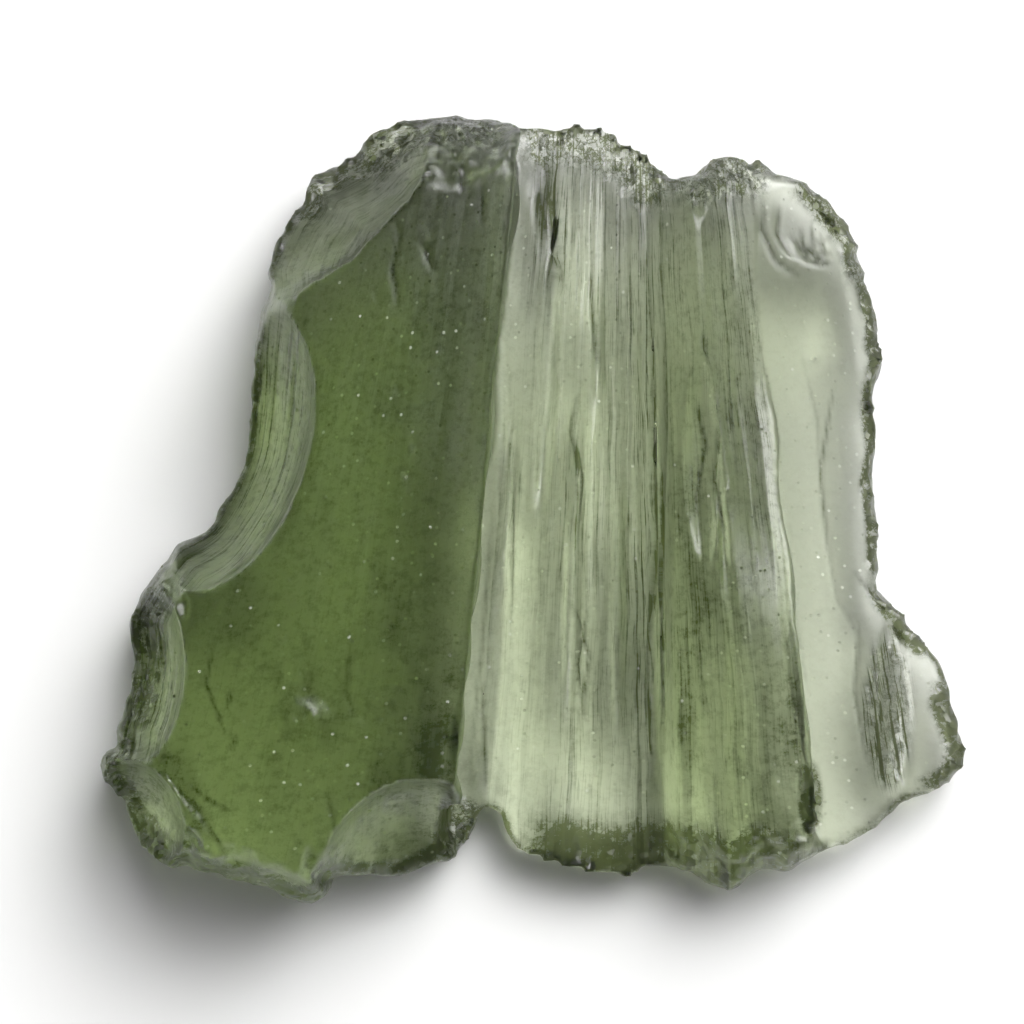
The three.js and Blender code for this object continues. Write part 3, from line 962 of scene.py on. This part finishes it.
@dataclass(frozen=True)
class TektiteGlass:
    """Moldavite glass, quenched from a melt: clear bottle green, deepening with thickness.

    The glass holds no crystals, so the eye sees through it to the floor, and all of its green is light
    lost on the way. Thin parts look nearly colourless and the thick lobe looks dark. Etched faces are
    dull rather than polished. A dark olive tint stands for soil in the cracks and along the flow lines,
    and is also painted shade along the rim, on the crumpled stretches and lower down the face.
    """

    ior: float = 1.49
    roughness: float = 0.28
    clean: str = "#ffffff"
    # The dark olive of soil, also used to paint shade.
    soil_and_shade: str = "#454c2c"
    through: str = "#a9bc63"
    # Lost along a metre of glass: this many times what the colour leaves out.
    density: float = 215.0
    facet_size: float = 0.24
    facet_sway: float = 0.14
    facet_tilt: float = 0.95
    # Painted shade: facets of the frost and its fold lines drawn dark, as if turned away from the light.
    facet_shade: Triple = (0.4, 1.0, 0.7)
    crease_shade: Triple = (0.43, 0.49, 0.9)
    # Drawn coarser than the finest real flow lines, so that they show.
    line_size: Pair = (0.13, 6.0)
    line_tilt: float = 1.1
    line_dark: Triple = (0.42, 0.32, 0.85)
    hair_size: Pair = (0.055, 1.3)
    hair_dark: Triple = (0.42, 0.32, 0.7)
    wander_size: float = 2.5
    wander_reach: float = 0.14
    # Drawn coarser than the grain of real etching, so that it shows.
    grain_size: float = 0.35
    grain_tilt: float = 0.25
    grain_dark: Triple = (0.55, 0.36, 0.42)
    speck_gap: float = 0.55
    speck_reach: float = 0.11
    speck_tilt: float = 1.6

    def make(self) -> bpy.types.Material:
        """Build the material.

        Returns:
            Clear glass whose green comes from absorption along the light's path.
        """
        material = bpy.data.materials.new("tektite_glass")
        material.use_nodes = True
        tree = material.node_tree
        tree.nodes.clear()
        flow = add_node(tree, "Attribute", {"attribute_name": "flow"}, {}).outputs["Vector"]
        marks = {}
        for name in ("frost", "banded", "stain_and_shade", "grainy"):
            mark = add_node(tree, "Attribute", {"attribute_name": name}, {})
            marks[name] = mark.outputs["Fac"]
        rough = {"Scale": 1.0 / self.grain_size, "Detail": 4.0, "Roughness": 0.75}
        grain = add_node(tree, "TexNoise", rough, {"Vector": flow})
        swaying = {"operation": "MULTIPLY_ADD", 1: (self.facet_sway,) * 3}
        sway = add_node(tree, "VectorMath", swaying, {0: grain.outputs["Color"], 2: flow})
        cells = {"Scale": 1.0 / self.facet_size}
        facets = add_node(tree, "TexVoronoi", cells, {"Vector": sway.outputs[0]})
        streaks = self.add_streaks(tree, flow)
        glassy = {"IOR": self.ior, "Transmission Weight": 1.0, "Roughness": self.roughness}
        sockets = {
            "Base Color": self.add_tint(tree, marks, (grain, facets), streaks),
            "Normal": self.add_normal(tree, flow, marks, (grain, streaks[0], facets)),
        }
        surface = add_node(tree, "BsdfPrincipled", glassy, sockets)
        green = {"Color": linear(self.through), "Density": self.density}
        body = add_node(tree, "VolumeAbsorption", green, {})
        ends = {"Surface": surface.outputs[0], "Volume": body.outputs[0]}
        add_node(tree, "OutputMaterial", {}, ends)
        return material

    def add_streaks(self, tree: Any, flow: Any) -> list[Any]:
        """Add the places that the flow lines and the hair lines are drawn on, wandering a little.

        Args:
            tree: The node tree.
            flow: Socket of the flow, in millimetres.

        Returns:
            The sockets of the two places, in widths and lengths of a line.
        """
        slow = {"noise_dimensions": "2D", "Scale": 1.0 / self.wander_size, "Detail": 1.0}
        wander = add_node(tree, "TexNoise", slow, {"Vector": flow})
        aside = {"operation": "MULTIPLY_ADD", 1: (self.wander_reach, 0.0, 0.0)}
        wandering = add_node(tree, "VectorMath", aside, {0: wander.outputs["Color"], 2: flow})
        streaks = []
        for width, length in (self.line_size, self.hair_size):
            shares = {"operation": "MULTIPLY", 1: (1.0 / width, 1.0 / length, 1.0 / length)}
            streak = add_node(tree, "VectorMath", shares, {0: wandering.outputs[0]})
            streaks.append(streak.outputs[0])
        return streaks

    def add_normal(self, tree: Any, flow: Any, marks: dict[str, Any], patterns: tuple[Any, ...]) -> Any:
        """Lean the surface's normal by the grain, the flow lines, the facets and the specks.

        Args:
            tree: The node tree.
            flow: Socket of the flow, in millimetres.
            marks: Sockets of the weathering's marks.
            patterns: The grain's node, the flow lines' socket and the facets' node.

        Returns:
            The socket of the normal.
        """
        grain, streak, facets = patterns
        cells = {"voronoi_dimensions": "2D", "Scale": 1.0}
        lines = add_node(tree, "TexVoronoi", cells, {"Vector": streak})
        cells = {"voronoi_dimensions": "2D", "Scale": 1.0 / self.speck_gap}
        specks = add_node(tree, "TexVoronoi", cells, {"Vector": flow})
        reach = {"From Min": self.speck_reach, "From Max": 0.5 * self.speck_reach}
        spots = add_node(tree, "MapRange", reach, {"Value": specks.outputs["Distance"]})
        normal = add_node(tree, "NewGeometry", {}, {}).outputs["Normal"]
        leans = (
            (grain, (self.grain_tilt,) * 3, marks["grainy"]),
            (lines, (self.line_tilt, 0.5 * self.line_tilt, 0.0), marks["banded"]),
            (facets, (self.facet_tilt,) * 3, marks["frost"]),
            (specks, (self.speck_tilt,) * 3, spots.outputs[0]),
        )
        for pattern, tilt, amount in leans:
            centred = {"operation": "MULTIPLY_ADD", 1: tilt, 2: tuple(-0.5 * part for part in tilt)}
            lean = add_node(tree, "VectorMath", centred, {0: pattern.outputs["Color"]})
            sockets = {0: lean.outputs[0], 1: amount, 2: normal}
            leaning = add_node(tree, "VectorMath", {"operation": "MULTIPLY_ADD"}, sockets)
            normal = leaning.outputs[0]
        return add_node(tree, "VectorMath", {"operation": "NORMALIZE"}, {0: normal}).outputs[0]

    def add_tint(
        self, tree: Any, marks: dict[str, Any], patterns: tuple[Any, Any], streaks: list[Any]
    ) -> Any:
        """Darken clean glass: soil and painted shade from the marks, a darker tone in the grain and the
        lines, and painted shade on the facets and in the creases.

        Args:
            tree: The node tree.
            marks: Sockets of the weathering's marks.
            patterns: The nodes of the grain and of the facets.
            streaks: Sockets that the flow lines and the hair lines are drawn on.

        Returns:
            The socket of the colour.
        """
        grain, facets = patterns
        cell = add_node(tree, "SeparateColor", {}, {"Color": facets.outputs["Color"]})
        creases = add_node(tree, "Math", {"operation": "PINGPONG", 1: 0.5}, {0: grain.outputs[0]})
        layers = [
            (grain.outputs[0], marks["grainy"], self.grain_dark),
            # Painted shade on the frost's facets and creases.
            (cell.outputs[0], marks["frost"], self.facet_shade),
            (creases.outputs[0], marks["frost"], self.crease_shade),
        ]
        streaky = {"noise_dimensions": "2D", "Scale": 1.0, "Detail": 1.0, "Roughness": 0.6}
        for streak, darkness in zip(streaks, (self.line_dark, self.hair_dark)):
            noise = add_node(tree, "TexNoise", streaky, {"Vector": streak})
            layers.append((noise.outputs[0], marks["banded"], darkness))
        # Start from the soil and painted shade marked on the mesh.
        dark = marks["stain_and_shade"]
        added = {"operation": "MULTIPLY_ADD", "use_clamp": True}
        for pattern, amount, (start, end, most) in layers:
            reach = {"From Min": start, "From Max": end, "To Max": most}
            shade = add_node(tree, "MapRange", reach, {"Value": pattern})
            dark = add_node(tree, "Math", added, {0: shade.outputs[0], 1: amount, 2: dark}).outputs[0]
        colours = {"data_type": "RGBA", 6: linear(self.clean), 7: linear(self.soil_and_shade)}
        return add_node(tree, "Mix", colours, {0: dark}).outputs[2]


@dataclass(frozen=True)
class MattPaper:
    """Matt paper, which scatters light evenly: the eye sees a white floor with no gloss."""

    colour: str = "#fafaf9"
    roughness: float = 1.0
    gloss: float = 0.0

    def make(self) -> bpy.types.Material:
        """Build the material.

        Returns:
            An even white.
        """
        paper = bpy.data.materials.new("matt_paper")
        paper.use_nodes = True
        shader = paper.node_tree.nodes["Principled BSDF"]
        shader.inputs["Base Color"].default_value = linear(self.colour)
        shader.inputs["Roughness"].default_value = self.roughness
        shader.inputs["Specular IOR Level"].default_value = self.gloss
        return paper


@dataclass
class Studio:
    """A pale floor, a soft key light from the upper right, an even sky and the camera above."""

    floor_size: float = 1200.0
    floor_gap: float = 0.02
    view_centre: Pair = (-0.82, -0.14)
    view_width: float = 35.84
    lens: float = 200.0
    sensor: float = 36.0
    clip_start: float = 1.0
    stone_level: float = 3.0
    # Degrees above the floor, and round from +X toward +Y.
    key_elevation: float = 44.0
    key_bearing: float = 56.0
    key_focus: float = 15.0
    key_strength: float = 12.6
    sky_zenith: float = 0.12
    sky_horizon: float = 0.26
    sky_full: float = 0.8
    bounces: int = 8

    def build(self) -> None:
        """Make the floor, lights and camera."""
        self.build_floor()
        self.build_lights()
        self.build_camera()

    def build_floor(self) -> None:
        """Lay the floor a hair below the stone, so that no two faces coincide."""
        half, z = self.floor_size / 2 * MM, -self.floor_gap * MM
        mesh = bpy.data.meshes.new("floor")
        corners = [(-half, -half, z), (half, -half, z), (half, half, z), (-half, half, z)]
        mesh.from_pydata(corners, [], [(0, 1, 2, 3)])
        floor = bpy.data.objects.new("floor", mesh)
        bpy.context.scene.collection.objects.link(floor)
        mesh.materials.append(MattPaper().make())

    def build_lights(self) -> None:
        """Light the stone with one soft dome that is brightest at the upper right."""
        scene = bpy.context.scene
        world = bpy.data.worlds.new("dome")
        world.use_nodes = True
        tree = world.node_tree
        elevation, bearing = math.radians(self.key_elevation), math.radians(self.key_bearing)
        level = math.cos(elevation)
        toward = (level * math.cos(bearing), level * math.sin(bearing), math.sin(elevation))
        place = add_node(tree, "TexCoord", {}, {})
        parts = add_node(tree, "SeparateXYZ", {}, {"Vector": place.outputs["Generated"]})
        sky = {"From Max": self.sky_full, "To Min": self.sky_horizon, "To Max": self.sky_zenith}
        even = add_node(tree, "MapRange", sky, {"Value": parts.outputs["Z"]})
        along_key = {"operation": "DOT_PRODUCT", 1: toward}
        facing = add_node(tree, "VectorMath", along_key, {0: place.outputs["Generated"]})
        lit = add_node(tree, "Math", {"operation": "MAXIMUM", 1: 0.0}, {0: facing.outputs["Value"]})
        lobe = add_node(tree, "Math", {"operation": "POWER", 1: self.key_focus}, {0: lit.outputs[0]})
        gain = {"operation": "MULTIPLY_ADD", 1: self.key_strength}
        glow = add_node(tree, "Math", gain, {0: lobe.outputs[0], 2: even.outputs[0]})
        background = tree.nodes["Background"]
        background.inputs["Color"].default_value = (1.0, 1.0, 1.0, 1.0)
        tree.links.new(glow.outputs[0], background.inputs["Strength"])
        world.cycles.sampling_method = "NONE"
        scene.world = world
        scene.view_settings.view_transform = "Standard"
        scene.cycles.blur_glossy = 0.0
        scene.cycles.max_bounces = self.bounces
        scene.cycles.transmission_bounces = self.bounces

    def build_camera(self) -> None:
        """Look straight down, framing what the photograph frames."""
        scene = bpy.context.scene
        camera = bpy.data.cameras.new("camera")
        camera.lens = self.lens
        camera.sensor_width = self.sensor
        eye = bpy.data.objects.new("camera", camera)
        distance = self.view_width * self.lens / self.sensor
        height = distance + self.stone_level
        eye.location = (self.view_centre[0] * MM, self.view_centre[1] * MM, height * MM)
        camera.clip_start = self.clip_start * MM
        scene.collection.objects.link(eye)
        scene.camera = eye


def main() -> None:
    """Build the stone and the studio, in order."""
    logging.basicConfig(level=logging.INFO, format="%(name)s: %(message)s")
    stone = Stone().build()
    stone.data.materials.append(TektiteGlass().make())
    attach(stone, "root")
    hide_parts(NODE)
    LOG.info("%s: %d vertices, %d faces", stone.name, len(stone.data.vertices), len(stone.data.polygons))
    Studio().build()


if __name__ == "__main__":
    main()
